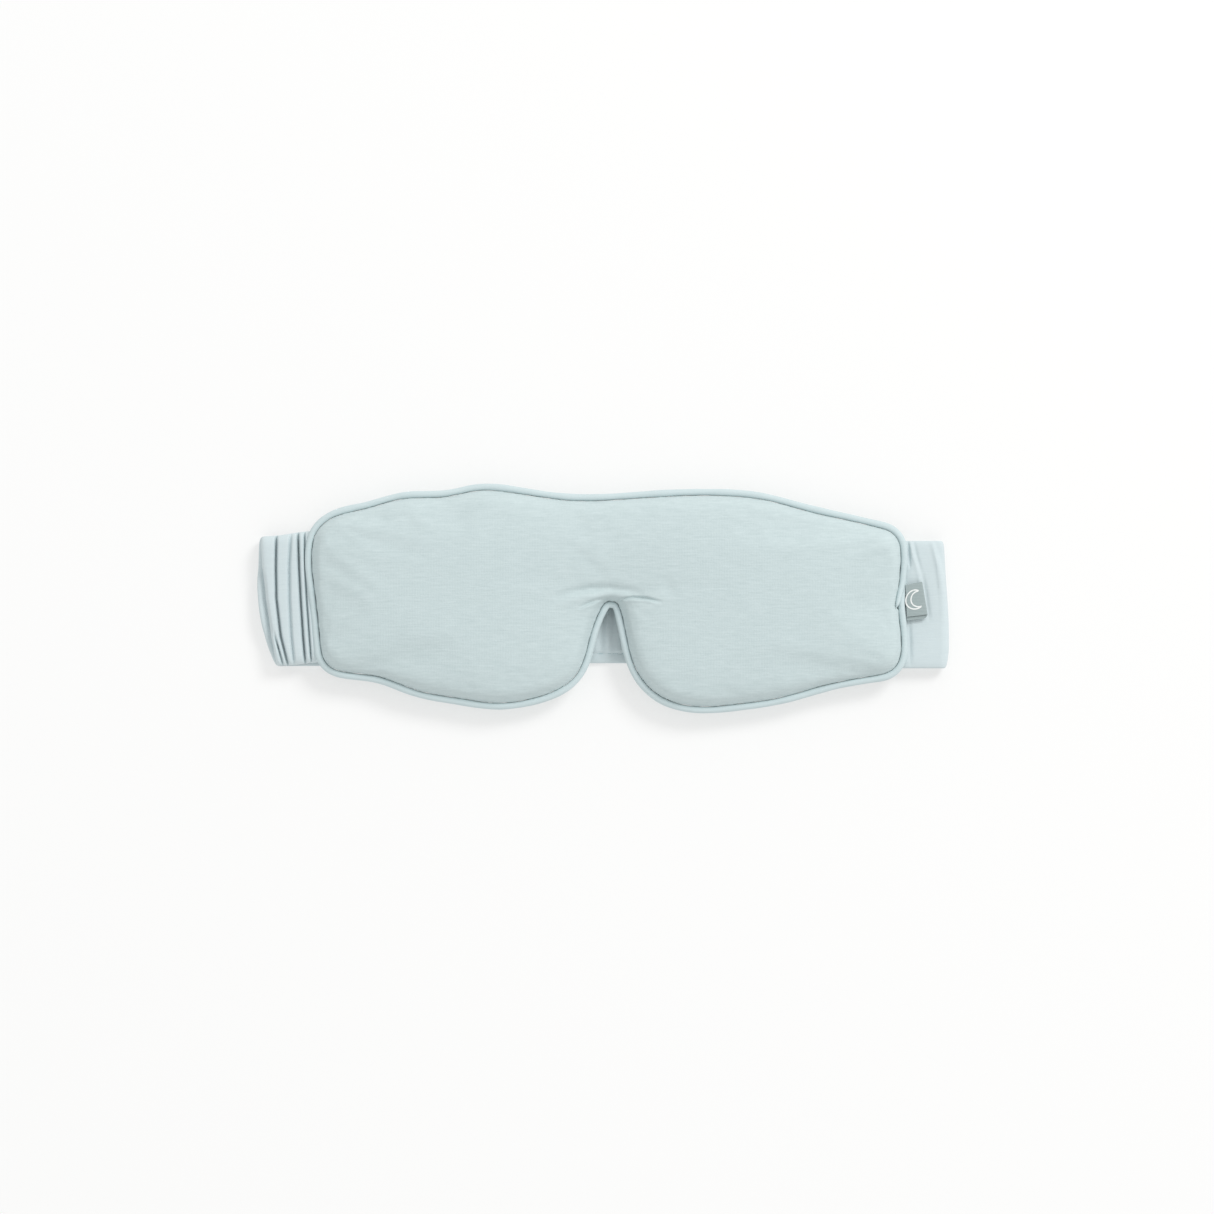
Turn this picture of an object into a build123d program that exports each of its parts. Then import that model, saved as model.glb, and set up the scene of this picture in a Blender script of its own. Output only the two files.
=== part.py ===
from build123d import *
import math
import os

# A padded sleep mask, lying face up with its strap folded under it.
# X runs along the mask, Y from the nose notch up to the brow, Z out of the front face.
# The origin is on the table, under the middle of the folded mask.

os.makedirs("parts", exist_ok=True)

# ---------------------------------------------------------------- driving sizes, mm
seam_length = 222.0  # pad, from end seam to end seam
seam_height = 80.9  # pad, from lowest to highest point of the seam
pad_shift = 1.0  # middle of the pad from the middle of the folded mask, along X
pad_shift_y = -0.2
front_rise = 8.2  # how far the front face domes above the seam
back_rise = 5.2  # how far the back face domes below the seam

strap_width = 48.0
strap_thickness = 2.6
strap_middle_y = -1.5
turn_reach = 15.8  # from the end of the pad to the middle of the turn of the strap
left_bend_share = 0.5205  # where the strap may bend up on the left, as a share of its reach
right_bend_share = 0.4177  # and on the right
seam_gap = 0.1  # from the strap's rolled end to the widest part of the pad

cloth = 0.6  # jersey with its thin foam backing
fit = 0.1  # between one layer and the next
body_gap = 0.3  # between pieces that move apart
elastic_thickness = 1.2
hem_width = 3.8  # plain edge of the strap beyond its stitching
stitch_margin = 1.0  # between the elastic and the stitching

piping_radius = 1.3
piping_wall = 0.4
piping_lip = 4.0  # flange of the piping inside the seam
lip_thickness = 0.5
liner_thickness = 0.4
thread_radius = 0.2
stitch_pitch = 3.0
stitch_length = 2.2
stitch_width = 0.5
stitch_height = 0.25

label_length = 7.2
label_height = 13.6
label_cloth = 0.35
label_gap = 0.3
label_clear = 0.4  # from the piping to the label
label_middle_y = -0.6
motif_radius = 2.1
motif_height = 0.15
bite_radius = 0.8 * motif_radius  # the circle that cuts the moon to a crescent
bite_x = 0.45 * motif_radius
bite_y = 0.25 * motif_radius

# ---------------------------------------------------------------- levels, all from the sizes above
strap_top = strap_thickness
fold_inner = 0.8  # inside radius of a turn of the strap
fold_reach = seam_length / 2 + turn_reach
left_bend_x = -left_bend_share * fold_reach
right_bend_x = right_bend_share * fold_reach
fold_z = strap_top + fold_inner
turn_bottom = fold_z + fold_inner
turn_middle = turn_bottom + strap_thickness / 2
turn_top = turn_bottom + strap_thickness
pad_bottom = strap_top + body_gap
half_lip = lip_thickness / 2 + fit / 2
# the seam lies where the back face clears the strap and the piping clears the turned ends, whichever is higher
seam_z = max(pad_bottom + back_rise + half_lip, turn_top + body_gap + piping_radius)
tunnel_height = elastic_thickness + 2 * fit
stitch_y = strap_width / 2 - hem_width
elastic_width = 2 * (stitch_y - stitch_margin)
tunnel_width = elastic_width + 2 * fit
piping_out = piping_radius + fit / 2
wadding_rim = 1.6  # how far the wadding keeps in from the seam, leaving room for the thread

# ---------------------------------------------------------------- the seam line
# Drawn once, on a field 222 by 80.9, and stretched to the size asked for.
shape_length = 222.0
shape_height = 80.9
seam_shape = [
    (1.9, -0.7),  # bridge of the nose
    (-0.6, -1.4),
    (-2.1, -3.5),
    (-4.6, -9.0),
    (-6.6, -15.5),
    (-8.5, -22.5),
    (-12.0, -29.0),
    (-18.5, -34.0),
    (-28.0, -37.3),
    (-41.1, -39.0),
    (-56.0, -37.1),
    (-72.0, -34.0),
    (-86.3, -28.9),
    (-99.1, -27.2),
    (-103.5, -25.6),
    (-106.5, -22.0),
    (-107.4, -17.5),
    (-109.2, 0.0),
    (-110.7, 17.5),
    (-108.7, 25.4),
    (-102.6, 30.6),
    (-91.0, 33.7),
    (-76.0, 37.6),
    (-60.5, 38.3),
    (-48.5, 40.6),
    (-35.0, 39.8),
    (-16.0, 37.1),
    (-1.0, 36.9),
    (20.0, 38.3),
    (40.0, 38.8),
    (60.0, 37.0),
    (74.0, 33.3),
    (90.0, 29.6),
    (102.4, 26.7),
    (106.8, 25.1),
    (109.8, 21.5),
    (110.6, 16.5),
    (109.5, -1.0),
    (110.7, -18.7),
    (109.5, -24.0),
    (106.2, -27.3),
    (100.9, -28.7),
    (82.0, -32.3),
    (66.0, -36.8),
    (49.0, -39.4),
    (34.0, -40.3),
    (20.0, -36.2),
    (12.4, -28.5),
    (9.2, -21.0),
    (7.4, -13.0),
    (5.4, -4.2),
    (4.3, -1.8),
]


def seam_points(inset):
    """Points of the seam line moved inward by inset, or outward where it is negative."""
    points = []
    for x, y in seam_shape:
        across = x * seam_length / shape_length + pad_shift
        points.append((across, y * seam_height / shape_height + pad_shift_y))
    moved = []
    for index, (x, y) in enumerate(points):
        before = Vector(*points[index - 1])
        here = Vector(x, y)
        after = Vector(*points[(index + 1) % len(points)])
        along = ((here - before).normalized() + (after - here).normalized()).normalized()
        moved.append((x + along.Y * inset, y - along.X * inset))
    return moved


def slab(inset, start_z, rise, rim):
    """A flat cushion on the seam outline, its far edge rounded; rise is negative below the seam."""
    with BuildPart() as cushion:
        with BuildSketch(Plane.XY.offset(start_z)):
            with BuildLine():
                Spline(*seam_points(inset), periodic=True)
            make_face()
        extrude(amount=rise)
        far_faces = cushion.faces().filter_by(GeomType.PLANE).sort_by(Axis.Z)
        fillet((far_faces[-1] if rise > 0 else far_faces[0]).edges(), rim)
    return cushion.part


def ring(outward, radius, hole_radius, level):
    """A closed round cord along the seam, a tube where hole_radius isn't zero."""
    with BuildPart() as cord:
        with BuildLine() as path:
            Spline(*[(x, y, level) for x, y in seam_points(-outward)], periodic=True)
        with BuildSketch(Plane(origin=path.line @ 0, x_dir=(0, 0, 1), z_dir=path.line % 0)):
            Circle(radius)
            if hole_radius:
                Circle(hole_radius, mode=Mode.SUBTRACT)
        sweep()
    return cord.part


def strap_section(width, height, corner):
    """Cross-section of the strap or its elastic, centred on the strap's middle."""
    with BuildSketch() as section:
        with Locations((strap_middle_y, 0)):
            if corner:
                RectangleRounded(width, height, corner)
            else:
                Rectangle(width, height)
    return section.sketch


def straight(x_start, x_end, middle_z, width, height, corner):
    """A straight length of strap or elastic."""
    with BuildPart() as length:
        with BuildSketch(Plane.YZ.offset(x_start)):
            with Locations((0, middle_z)):
                add(strap_section(width, height, corner))
        extrude(amount=x_end - x_start)
    return length.part


def half_turn(x_middle, direction, width, height, corner):
    """The same cross-section carried half way round the fold, outward on the side of direction."""
    with BuildPart() as turn:
        with BuildSketch(Plane.YZ.offset(x_middle)):
            with Locations((0, strap_thickness / 2)):
                add(strap_section(width, height, corner))
        fold_axis = Axis((x_middle, 0, fold_z), (0, -direction, 0))
        revolve(axis=fold_axis, revolution_arc=180)
    return turn.part


# ---------------------------------------------------------------- the pad
front_z = seam_z + half_lip
back_z = seam_z - half_lip
corner_scale = min(seam_length / shape_length, seam_height / shape_height, 1.0)
front_rim = min(6.5 * corner_scale, front_rise - 1.0)  # radius of the soft edge of the front face
back_rim = min(4.8 * corner_scale, back_rise - fit)

front_outside = slab(0, front_z, front_rise, front_rim)
front_inside = slab(cloth, front_z, front_rise - cloth, front_rim - cloth)
with BuildPart() as front_panel:
    add(front_outside)
    add(front_inside, mode=Mode.SUBTRACT)
front_panel.part.label = "front_panel"
export_step(front_panel.part, "parts/front_panel.step")

back_outside = slab(0, back_z, -back_rise, back_rim)
back_inside = slab(cloth, back_z, cloth - back_rise, back_rim - cloth)
with BuildPart() as back_panel:
    add(back_outside)
    add(back_inside, mode=Mode.SUBTRACT)
back_panel.part.label = "back_panel"
export_step(back_panel.part, "parts/back_panel.step")

layer = cloth + fit
front_filling = slab(wadding_rim, front_z, front_rise - layer, front_rim - wadding_rim)
with BuildPart() as front_wadding:
    add(front_filling)
front_wadding.part.label = "front_wadding"
export_step(front_wadding.part, "parts/front_wadding.step")

back_filling = slab(wadding_rim, back_z, layer - back_rise, back_rim - wadding_rim)
with BuildPart() as back_wadding:
    add(back_filling)
back_wadding.part.label = "back_wadding"
export_step(back_wadding.part, "parts/back_wadding.step")

# The opaque liner lies flat between the two waddings, inside the flange of the piping.
with BuildPart() as blackout_liner:
    with BuildSketch(Plane.XY.offset(seam_z - liner_thickness / 2)):
        with BuildLine():
            Spline(*seam_points(piping_lip + fit), periodic=True)
        make_face()
    extrude(amount=liner_thickness)
blackout_liner.part.label = "blackout_liner"
export_step(blackout_liner.part, "parts/blackout_liner.step")

# Piping: a bias-cut tube with a flange that is caught in the seam, and a cord inside it.
piping_tube = ring(piping_out, piping_radius, piping_radius - piping_wall, seam_z)
with BuildPart() as piping_cover:
    with BuildSketch(Plane.XY.offset(seam_z - lip_thickness / 2)):
        with BuildLine():
            Spline(*seam_points(-piping_wall / 2), periodic=True)
        make_face()
        with BuildLine(mode=Mode.PRIVATE) as inner_edge:
            Spline(*seam_points(piping_lip), periodic=True)
        make_face(inner_edge.edges(), mode=Mode.SUBTRACT)
    extrude(amount=lip_thickness)
    add(piping_tube)
piping_cover.part.label = "piping_cover"
export_step(piping_cover.part, "parts/piping_cover.step")

piping_core = ring(piping_out, piping_radius - piping_wall - fit, 0, seam_z)
with BuildPart() as piping_cord:
    add(piping_core)
piping_cord.part.label = "piping_cord"
export_step(piping_cord.part, "parts/piping_cord.step")

# The seam's thread lies in the corner between the wall of the front panel and the flange.
thread_inset = (cloth + wadding_rim) / 2
thread_z = seam_z + lip_thickness / 2 + fit + thread_radius
thread_run = ring(-thread_inset, thread_radius, 0, thread_z)
with BuildPart() as seam_thread:
    add(thread_run)
seam_thread.part.label = "seam_thread"
export_step(seam_thread.part, "parts/seam_thread.step")

# ---------------------------------------------------------------- the strap, length by length
# One sleeve and one elastic, cut where the strap bends so that each length can move.
strap_corner = strap_thickness / 2 - fit
end_gap = body_gap / 2
tunnel = (tunnel_width, tunnel_height, 0)
elastic = (elastic_width, elastic_thickness, 0)
sleeve = (strap_width, strap_thickness, strap_corner)
run_middle = strap_thickness / 2

runs = {
    "left_run": (-fold_reach, left_bend_x - end_gap),
    "back_run": (left_bend_x + end_gap, right_bend_x - end_gap),
    "right_run": (right_bend_x + end_gap, fold_reach),
}
for name, (x_start, x_end) in runs.items():
    outside = straight(x_start, x_end, run_middle, *sleeve)
    hollow = straight(x_start, x_end, run_middle, *tunnel)
    with BuildPart() as run_sleeve:
        add(outside)
        add(hollow, mode=Mode.SUBTRACT)
        # A shallow groove for each row of stitches.
        with BuildSketch(Plane.XY.offset(strap_top)):
            for row_y in (-stitch_y, stitch_y):
                with Locations(((x_start + x_end) / 2, strap_middle_y + row_y)):
                    Rectangle(x_end - x_start, stitch_width + 2 * fit)
        extrude(amount=-stitch_height, mode=Mode.SUBTRACT)
    run_sleeve.part.label = f"{name}_sleeve"
    export_step(run_sleeve.part, f"parts/{name}_sleeve.step")

    band = straight(x_start, x_end, run_middle, *elastic)
    with BuildPart() as run_elastic:
        add(band)
    run_elastic.part.label = f"{name}_elastic"
    export_step(run_elastic.part, f"parts/{name}_elastic.step")

    stitches = int((x_end - x_start) / stitch_pitch)
    for side, row_y in (("lower", -stitch_y), ("upper", stitch_y)):
        with BuildPart() as stitching:
            row = Location(((x_start + x_end) / 2, strap_middle_y + row_y, strap_top))
            with Locations(row * Location((0, 0, -stitch_height))):
                Box(x_end - x_start, stitch_width, stitch_height / 2,
                    align=(Align.CENTER, Align.CENTER, Align.MIN))
            with Locations(row * Location((0, 0, -stitch_height / 2))):
                with GridLocations(stitch_pitch, 0, stitches, 1):
                    Box(stitch_length, stitch_width, stitch_height / 2,
                        align=(Align.CENTER, Align.CENTER, Align.MIN))
        stitching.part.label = f"{name}_{side}_stitching"
        export_step(stitching.part, f"parts/{name}_{side}_stitching.step")

# Where the strap turns back on itself, and the short length from there to the pad's end seam.
half_pad = seam_length / 2
left_wall = pad_shift - half_pad
right_wall = pad_shift + half_pad
end_roll = strap_thickness / 2
left_hinge_x = left_wall - end_roll - seam_gap
right_hinge_x = right_wall + end_roll + seam_gap
ridge_pitch = 3.0
ridge_rise = 1.3

for side, direction, hinge_x in (("left", -1, left_hinge_x), ("right", 1, right_hinge_x)):
    fold_x = direction * fold_reach
    turn_start = fold_x - direction * body_gap

    outside = half_turn(fold_x, direction, *sleeve)
    hollow = half_turn(fold_x, direction, *tunnel)
    with BuildPart() as fold_sleeve:
        add(outside)
        add(hollow, mode=Mode.SUBTRACT)
    fold_sleeve.part.label = f"{side}_fold_sleeve"
    export_step(fold_sleeve.part, f"parts/{side}_fold_sleeve.step")

    bend = half_turn(fold_x, direction, *elastic)
    with BuildPart() as fold_elastic:
        add(bend)
    fold_elastic.part.label = f"{side}_fold_elastic"
    export_step(fold_elastic.part, f"parts/{side}_fold_elastic.step")

    flat_turn = straight(turn_start, hinge_x, turn_middle, *sleeve)
    turn_hollow = straight(turn_start, hinge_x, turn_middle, *tunnel)
    with BuildPart() as turn_sleeve:
        add(flat_turn)
        # The end is a rolled edge about the line it is sewn along.
        with Locations(Location((hinge_x, strap_middle_y, turn_middle), (90, 0, 0))):
            Cylinder(end_roll, strap_width)
        if side == "left":
            # Gathers: the cloth is pushed up in ridges between the turn and the piping.
            ridges = int((abs(turn_start) - abs(hinge_x) - 2 * piping_radius) / ridge_pitch)
            with BuildSketch(Plane.XZ.offset(-strap_middle_y)):
                for ridge in range(ridges):
                    with Locations((turn_start + (ridge + 0.5) * ridge_pitch, turn_top - ridge_rise)):
                        Ellipse(ridge_pitch / 2, 2 * ridge_rise)
            extrude(amount=strap_width / 2, both=True)
        add(turn_hollow, mode=Mode.SUBTRACT)
    turn_sleeve.part.label = f"{side}_turn_sleeve"
    export_step(turn_sleeve.part, f"parts/{side}_turn_sleeve.step")

    turn_band = straight(turn_start, hinge_x + direction * fit, turn_middle, *elastic)
    with BuildPart() as turn_elastic:
        add(turn_band)
    turn_elastic.part.label = f"{side}_turn_elastic"
    export_step(turn_elastic.part, f"parts/{side}_turn_elastic.step")

# ---------------------------------------------------------------- the side label
# A strip of woven tape folded double, its two ends caught in the right seam.
label_root_x = pad_shift + half_pad + 2 * piping_radius + label_clear
label_half = label_cloth + label_gap / 2
label_z = seam_z + fit
label_end_x = label_root_x + label_length

with BuildPart() as label_tab:
    with BuildSketch(Plane.XZ.offset(-label_middle_y)):
        with Locations(((label_root_x + label_end_x) / 2, label_z)):
            SlotOverall(label_length + 2 * label_half, 2 * label_half)
            SlotOverall(label_length + label_gap, label_gap, mode=Mode.SUBTRACT)
    extrude(amount=label_height / 2, both=True)
label_tab.part.label = "label_tab"
export_step(label_tab.part, "parts/label_tab.step")

with BuildPart() as label_motif:
    with BuildSketch(Plane.XY.offset(label_z + label_half)):
        with Locations(((label_root_x + label_end_x) / 2, label_middle_y)):
            Circle(motif_radius)
            with Locations((bite_x, bite_y)):
                Circle(bite_radius, mode=Mode.SUBTRACT)
    extrude(amount=motif_height)
label_motif.part.label = "label_motif"
export_step(label_motif.part, "parts/label_motif.step")
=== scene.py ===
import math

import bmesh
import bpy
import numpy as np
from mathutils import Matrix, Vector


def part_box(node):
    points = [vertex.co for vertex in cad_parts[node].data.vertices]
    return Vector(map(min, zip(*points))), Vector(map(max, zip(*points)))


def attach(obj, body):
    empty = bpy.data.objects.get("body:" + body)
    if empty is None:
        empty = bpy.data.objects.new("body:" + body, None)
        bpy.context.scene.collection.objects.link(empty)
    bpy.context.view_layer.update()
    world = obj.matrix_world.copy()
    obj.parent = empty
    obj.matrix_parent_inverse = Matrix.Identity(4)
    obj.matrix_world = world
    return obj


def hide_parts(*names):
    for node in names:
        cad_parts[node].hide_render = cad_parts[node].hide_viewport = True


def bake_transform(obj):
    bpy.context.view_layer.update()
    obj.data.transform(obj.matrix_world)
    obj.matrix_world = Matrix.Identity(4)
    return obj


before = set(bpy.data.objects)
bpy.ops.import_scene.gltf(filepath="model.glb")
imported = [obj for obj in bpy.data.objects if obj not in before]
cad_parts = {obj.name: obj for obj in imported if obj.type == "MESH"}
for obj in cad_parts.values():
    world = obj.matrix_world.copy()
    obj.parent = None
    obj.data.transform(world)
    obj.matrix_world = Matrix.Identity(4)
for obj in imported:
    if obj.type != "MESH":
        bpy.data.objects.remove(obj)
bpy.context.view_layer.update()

# %% [markdown]
# A padded sleep mask, lying face up with its wide strap folded beneath it.
# The hard measured model is already loaded as the frame. This lesson dresses it: a puffed jersey pad with a
# piped edge, a gathered strap, a woven label, and the cloth they are made of. Everything is in metres.
# X runs along the mask, Y from the nose notch up to the brow, and Z out of the front face.

MM = 0.001
SAME_PLACE = 0.001 * MM  # points nearer than this are one point
SAME_LEVEL = 0.02 * MM
SEAM_Z = sum(corner[2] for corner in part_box("blackout_liner")) / 2
FRONT_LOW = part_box("front_panel")[0]
BACK_LOW, BACK_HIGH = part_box("back_panel")
PIPE_LOW, PIPE_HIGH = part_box("piping_cover")
PIPE_RADIUS = (PIPE_HIGH[2] - PIPE_LOW[2]) / 2
print("seam level", round(SEAM_Z / MM, 2), "mm; piping radius", round(PIPE_RADIUS / MM, 2), "mm")

# %% [markdown]
# Every operator in Blender works on what is selected, and the frame arrives selected. So a small helper
# clears the selection and makes one object active.

# %% Selecting one piece, and moving its points
def pick(piece):
    """Selects this piece alone, in object mode."""
    if bpy.context.object and bpy.context.object.mode != "OBJECT":
        bpy.ops.object.mode_set(mode="OBJECT")
    bpy.ops.object.select_all(action="DESELECT")
    piece.select_set(True)
    bpy.context.view_layer.objects.active = piece
    return piece


def name_new(name):
    """Names the piece an operator has just added, and its mesh."""
    piece = bpy.context.object
    piece.name = name
    piece.data.name = name
    return piece


def points_of(piece):
    """All the points of a mesh as an array of rows x, y, z."""
    flat = np.empty(len(piece.data.vertices) * 3)
    piece.data.vertices.foreach_get("co", flat)
    return flat.reshape(-1, 3)


def move_points(piece, points):
    """Puts the points of a mesh where the array says."""
    piece.data.vertices.foreach_set("co", np.asarray(points, float).ravel())
    piece.data.update()


def select_faces(piece, keep):
    """In edit mode, selects the faces whose centre and normal pass the test keep."""
    bpy.ops.mesh.select_mode(type="FACE")
    work = bmesh.from_edit_mesh(piece.data)
    for face in work.faces:
        face.select = bool(keep(face.calc_center_median(), face.normal))
    work.select_flush_mode()
    bmesh.update_edit_mesh(piece.data)


def apply_all(piece):
    """Applies every modifier, in order."""
    pick(piece)
    for modifier in list(piece.modifiers):
        bpy.ops.object.modifier_apply(modifier=modifier.name)


def smooth(piece, angle=None):
    """Shades the piece smooth, but keeps edges sharper than angle, in degrees, if that is given."""
    pick(piece)
    if angle is None:
        bpy.ops.object.shade_smooth()
    else:
        bpy.ops.object.shade_smooth_by_angle(angle=math.radians(angle))


def face_outward(piece, merge=False):
    """Turns the faces of a closed piece outward, after joining doubled points if merge is asked for."""
    pick(piece)
    bpy.ops.object.mode_set(mode="EDIT")
    bpy.ops.mesh.select_all(action="SELECT")
    if merge:
        bpy.ops.mesh.remove_doubles(threshold=SAME_PLACE)
    bpy.ops.mesh.normals_make_consistent(inside=False)
    bpy.ops.object.mode_set(mode="OBJECT")


def millimetres(sizes):
    """Sizes in whole tenths of a millimetre, to print."""
    return [round(size / MM, 1) for size in sizes]


print("helpers ready;", len(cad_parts), "nodes in the frame")

# %% [markdown]
# The seam line is the one outline that everything on the pad follows: both panels end on it and the piping
# runs along it. It could be drawn again by hand, but the measured front panel already has it, as the outer
# edge of its flat rim. Reading it from there keeps the cloth and the measured model together.

# %% The seam line, read from the front panel
FACES_ALONG = 0.9  # a face points along an axis when its normal has at least this share of it


def rim_outline(node):
    """The outer edge of a panel's flat rim, as ordered x, y points."""
    work = bmesh.new()
    work.from_mesh(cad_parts[node].data)
    bmesh.ops.remove_doubles(work, verts=work.verts, dist=SAME_PLACE)
    work.verts.index_update()
    rim = {f for f in work.faces
           if f.normal.z < -FACES_ALONG and abs(f.calc_center_median().z - FRONT_LOW[2]) < SAME_LEVEL}
    edges = [e for e in work.edges if sum(f in rim for f in e.link_faces) == 1]
    neighbours = {}
    for edge in edges:
        a, b = edge.verts
        neighbours.setdefault(a, []).append(b)
        neighbours.setdefault(b, []).append(a)
    loops = []
    left = set(neighbours)
    while left:
        loop = [min(left, key=lambda v: v.index)]
        left.discard(loop[0])
        while ahead := [v for v in neighbours[loop[-1]] if v in left]:
            loop.append(ahead[0])
            left.discard(ahead[0])
        loops.append(np.array([(v.co.x, v.co.y) for v in loop]))
    work.free()
    return max(loops, key=lambda loop: np.ptp(loop[:, 0]))


def even(loop, count):
    """A closed outline with count points at equal distances."""
    closed = np.vstack([loop, loop[:1]])
    reach = np.concatenate([[0], np.cumsum(np.linalg.norm(np.diff(closed, axis=0), axis=1))])
    wanted = np.linspace(0, reach[-1], count, endpoint=False)
    return np.stack([np.interp(wanted, reach, closed[:, k]) for k in range(closed.shape[1])], axis=1)


def outward(loop):
    """The unit normal of an outline at each point, pointing out of it."""
    along = np.roll(loop, -1, axis=0) - np.roll(loop, 1, axis=0)
    along /= np.linalg.norm(along, axis=1)[:, None]
    normal = np.stack([along[:, 1], -along[:, 0]], axis=1)
    x, y = loop[:, 0], loop[:, 1]
    area = 0.5 * np.sum(x * np.roll(y, -1) - y * np.roll(x, -1))
    return normal if area > 0 else -normal


SEAM = even(rim_outline("front_panel"), 600)
seam_length = np.sum(np.linalg.norm(np.roll(SEAM, -1, axis=0) - SEAM, axis=1))
print("seam", round(seam_length / MM), "mm round,", len(SEAM), "points")

# %% [markdown]
# The pad is two jersey panels sewn round wadding. A drawn dome looks like moulded plastic. Blown up as cloth,
# the same outline fills the way a cushion does: fullest in the middle, steep beside the seam. So the blank is
# a thin slab on the seam line, raised in steps by insets, then remeshed into an even net for the solver.

# %% The blank for the pad: a slab on the seam line, raised in steps
def shifted(loop, distance):
    """The outline moved out by distance, or in where distance is negative."""
    return loop + outward(loop) * distance


def pad_blank(name, points, seam_inset, half_rim, steps_up, steps_down):
    """A closed slab on the seam line; each step is (inset, rise) of its top or bottom face."""
    outline = shifted(even(SEAM, points), -seam_inset)
    bpy.ops.mesh.primitive_circle_add(vertices=len(outline), radius=0.1, fill_type="NGON")
    blank = name_new(name)
    flat = np.column_stack([outline, np.full(len(outline), SEAM_Z - half_rim)])
    move_points(blank, flat)
    bpy.ops.object.mode_set(mode="EDIT")
    bpy.ops.mesh.select_all(action="SELECT")
    bpy.ops.mesh.extrude_region_move(TRANSFORM_OT_translate={"value": (0, 0, 2 * half_rim)})
    face_outward(blank)
    bpy.ops.object.mode_set(mode="EDIT")
    for side, steps in ((1, steps_up), (-1, steps_down)):
        select_faces(blank, lambda centre, normal: normal.z * side > FACES_ALONG)
        for inset, rise in steps:
            bpy.ops.mesh.inset(thickness=inset, depth=rise, use_even_offset=False)
    bpy.ops.object.mode_set(mode="OBJECT")
    return blank


bpy.ops.object.select_all(action="DESELECT")
UP = ((0.9 * MM, 2.7 * MM), (1.4 * MM, 2.0 * MM), (1.9 * MM, 1.2 * MM), (2.3 * MM, 0.5 * MM))
DOWN = ((1.2 * MM, 2.0 * MM), (2.0 * MM, 1.3 * MM), (3.0 * MM, 0.6 * MM))
pad = pad_blank("pad", 240, seam_inset=0.3 * MM, half_rim=0.35 * MM, steps_up=UP, steps_down=DOWN)
pad.data.remesh_voxel_size = 1.7 * MM
pick(pad)
bpy.ops.object.voxel_remesh()
print("pad blank", len(pad.data.vertices), "points", millimetres(pad.dimensions))

# %% [markdown]
# The cloth solver does the filling. The band beside the seam is pinned, as the stitching holds it, and
# pressure pushes the rest out. How far a point may travel is capped, so that the pad is only as full as
# wadding makes it.

# %% Filling the pad with the cloth solver
PINNED = 1.1 * MM  # how far above and below the seam the stitching holds the cloth


def fill_with_air(piece, held, pressure, frames, cap):
    """Runs the cloth solver with the held group pinned, and keeps the result with a cap on travel."""
    cloth = piece.modifiers.new("Cloth", "CLOTH")
    for setting, value in dict(quality=5, mass=0.2, tension_stiffness=12, compression_stiffness=12,
                               shear_stiffness=5, bending_stiffness=0.8, vertex_group_mass=held,
                               use_pressure=True, uniform_pressure_force=pressure).items():
        setattr(cloth.settings, setting, value)
    cloth.settings.effector_weights.gravity = 0
    cloth.point_cache.frame_start = 1
    cloth.point_cache.frame_end = frames
    before = points_of(piece)
    for frame_number in range(1, frames + 1):
        bpy.context.scene.frame_set(frame_number)
    solved = piece.evaluated_get(bpy.context.evaluated_depsgraph_get())
    after = points_of(solved)
    piece.modifiers.remove(cloth)
    bpy.context.scene.frame_set(1)
    travel = after - before
    reach = np.linalg.norm(travel, axis=1)
    travel *= np.minimum(1, cap / np.maximum(reach, SAME_PLACE))[:, None]
    move_points(piece, before + travel)
    return reach


beside_seam = np.flatnonzero(np.abs(points_of(pad)[:, 2] - SEAM_Z) < PINNED)
pad.vertex_groups.new(name="seam").add(beside_seam.tolist(), 1.0, "REPLACE")
reach = fill_with_air(pad, "seam", pressure=4.0, frames=20, cap=2.4 * MM)
print("filled; points moved up to", round(float(reach.max()) / MM, 1), "mm before the cap")
pad.vertex_groups.clear()

# %% [markdown]
# Where the notch pulls on the bridge, the jersey creases: a soft valley arches over the notch, a sharper one
# runs out to the right, and a short one slants to the left. Each is pressed in as a groove along a line, with
# the cloth it displaces standing up beside it. Subdivision comes first, so that the grooves come out smooth.

# %% Pressing creases into the bridge, and small gathers beside the seam
def distance_to_line(x, y, line):
    """Each point's distance from a drawn line, how far along it that is (0 to 1), and on which side."""
    best = np.full(x.shape, np.inf)
    share = np.zeros(x.shape)
    side = np.zeros(x.shape)
    line = np.array(line, float) * MM
    legs = np.linalg.norm(np.diff(line, axis=0), axis=1)
    start_share = np.concatenate([[0], np.cumsum(legs)]) / legs.sum()
    for k in range(len(line) - 1):
        leg = line[k + 1] - line[k]
        t = np.clip(((x - line[k, 0]) * leg[0] + (y - line[k, 1]) * leg[1]) / (leg @ leg), 0, 1)
        dx = x - line[k, 0] - t * leg[0]
        dy = y - line[k, 1] - t * leg[1]
        far = np.hypot(dx, dy)
        nearer = far < best
        best = np.where(nearer, far, best)
        share = np.where(nearer, start_share[k] + t * (start_share[k + 1] - start_share[k]), share)
        side = np.where(nearer, np.sign(leg[0] * dy - leg[1] * dx), side)
    return best, share, side


def groove(x, y, line, width, depth, shoulder):
    """Depth of a groove along a line, fading at its ends, with a raised shoulder on its right-hand side."""
    far, share, side = distance_to_line(x, y, line)
    fade = np.sin(np.pi * np.clip(share, 0.0, 1.0)) ** 0.7
    signed = far * side
    valley = np.exp(-((far / (width * MM)) ** 2))
    ridge = np.exp(-(((signed + 1.9 * width * MM) / (1.1 * width * MM)) ** 2))
    return fade * MM * (shoulder * ridge - depth * valley)


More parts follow.
